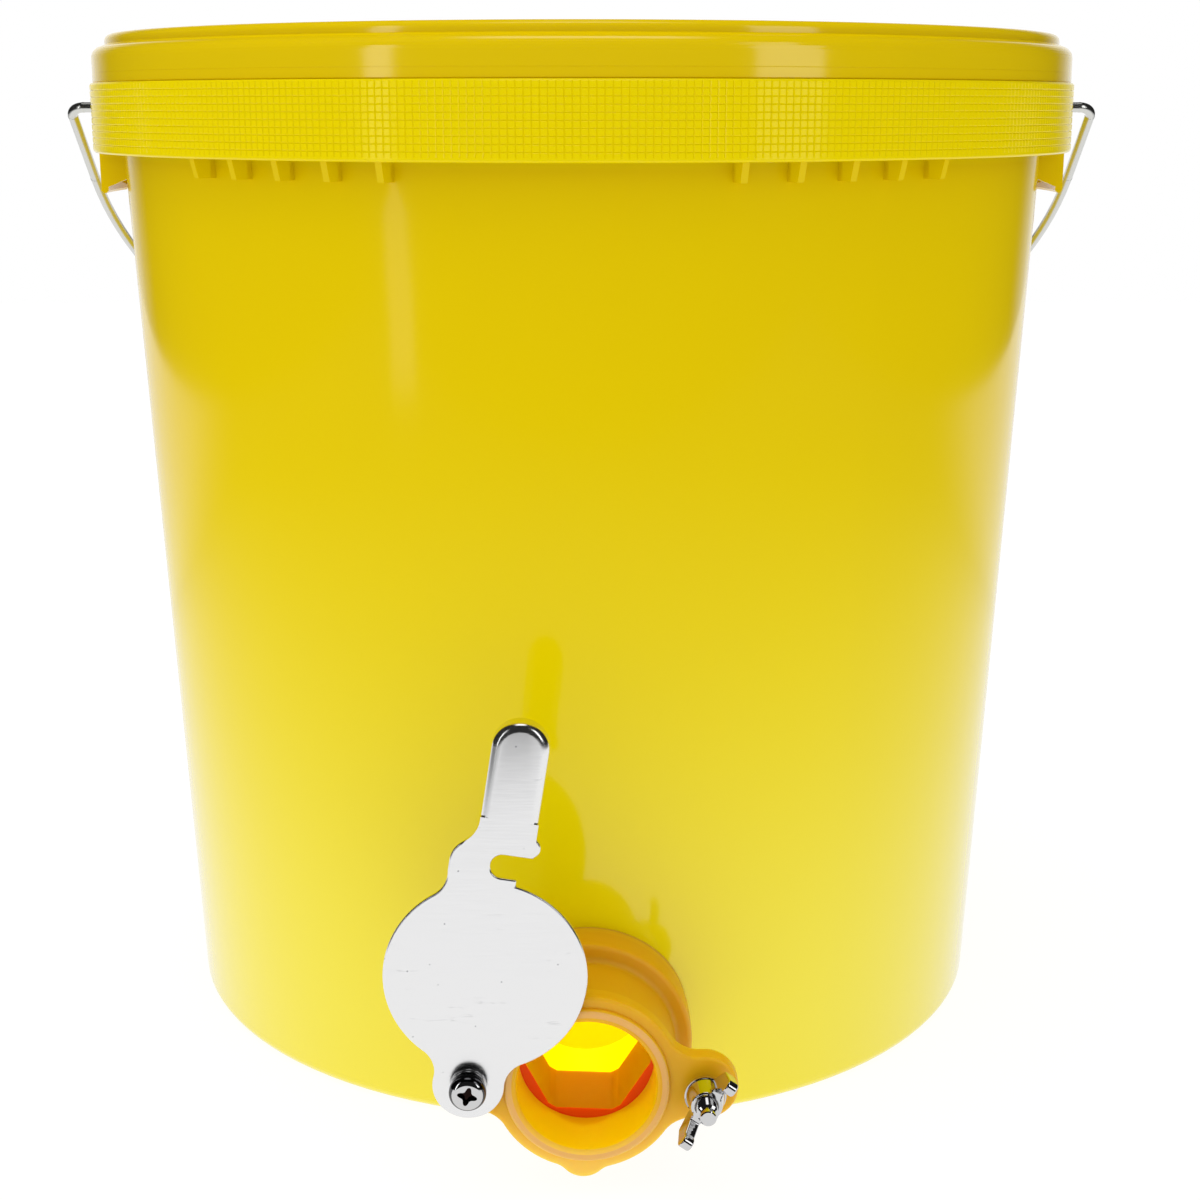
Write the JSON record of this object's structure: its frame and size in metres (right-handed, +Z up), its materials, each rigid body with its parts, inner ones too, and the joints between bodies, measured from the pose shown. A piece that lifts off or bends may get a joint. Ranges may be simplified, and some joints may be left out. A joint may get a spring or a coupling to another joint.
{
  "type": "honey bucket with gate",
  "caption": "Tapered plastic honey bucket with a ribbed collar, press-on lid and wire bail, and a low swing-plate gate that pours thick honey and clamps shut with a wing nut.",
  "frame": {"origin": "middle of the base, on the plane that the bucket stands on", "axes": "+Z up the bucket's axis; the gate pours towards -Y; the bail's pivots lie on the X axis direction"},
  "size_m": [0.3532, 0.3647, 0.328],
  "materials": {
    "bucket_plastic": "glossy moulded polypropylene, yellow",
    "lid_plastic": "glossy moulded polypropylene, yellow",
    "seal_foam": "soft foamed seal, off-white",
    "wire_steel": "bright zinc-plated wire",
    "grip_plastic": "moulded, off-white",
    "gate_nylon": "satin moulded nylon, amber",
    "gasket_rubber": "soft silicone rubber, amber",
    "plate_steel": "polished stainless steel sheet",
    "fastener_steel": "polished stainless steel"
  },
  "bodies": {
    "bucket": {"bucket": "bucket_plastic", "gate_body": "gate_nylon", "gate_outer_gasket": "gasket_rubber", "gate_inner_gasket": "gasket_rubber", "gate_nut": "gate_nylon", "pivot_screw": "fastener_steel", "pivot_spring_washer": "fastener_steel", "pivot_washer": "fastener_steel", "pivot_nut": "fastener_steel", "clamp_bolt": "fastener_steel"},
    "lid": {"lid": "lid_plastic", "lid_seal": "seal_foam"},
    "bail": {"bail_wire": "wire_steel"},
    "grip": {"bail_grip": "grip_plastic"},
    "gate_plate": {"gate_plate": "plate_steel"},
    "clamp_washer": {"clamp_washer": "fastener_steel"},
    "wing_nut": {"wing_nut": "fastener_steel"}
  },
  "joints": [
    {"name": "lid_lift", "type": "slide", "parent": "bucket", "child": "lid", "axis": [0, 0, 1], "range_m": [0, 0.15]},
    {"name": "bail_swing", "type": "hinge", "parent": "bucket", "child": "bail", "pos_m": [0, 0, 0.3055], "axis": [1, 0, 0], "range_deg": [0, 260.5]},
    {"name": "grip_spin", "type": "hinge", "parent": "bail", "child": "grip", "pos_m": [0, 0.15667, 0.17286], "axis": [1, 0, 0], "continuous": true},
    {"name": "gate_swing", "type": "hinge", "parent": "bucket", "child": "gate_plate", "pos_m": [-0.03357, -0.18513, 0.03747], "axis": [0, -1, 0], "range_deg": [-83.5, 96.5]},
    {"name": "washer_slide", "type": "slide", "parent": "bucket", "child": "clamp_washer", "axis": [0, -1, 0], "range_m": [-0.00025, 0.004]},
    {"name": "wing_turn", "type": "hinge", "parent": "clamp_washer", "child": "wing_nut", "pos_m": [0.03357, -0.19023, 0.03453], "axis": [0, -1, 0], "range_deg": [-90, 1440]}
  ],
  "couplings": [
    {"joint": "washer_slide", "follows": "wing_turn", "m_per_rad": 0.00015915}
  ]
}
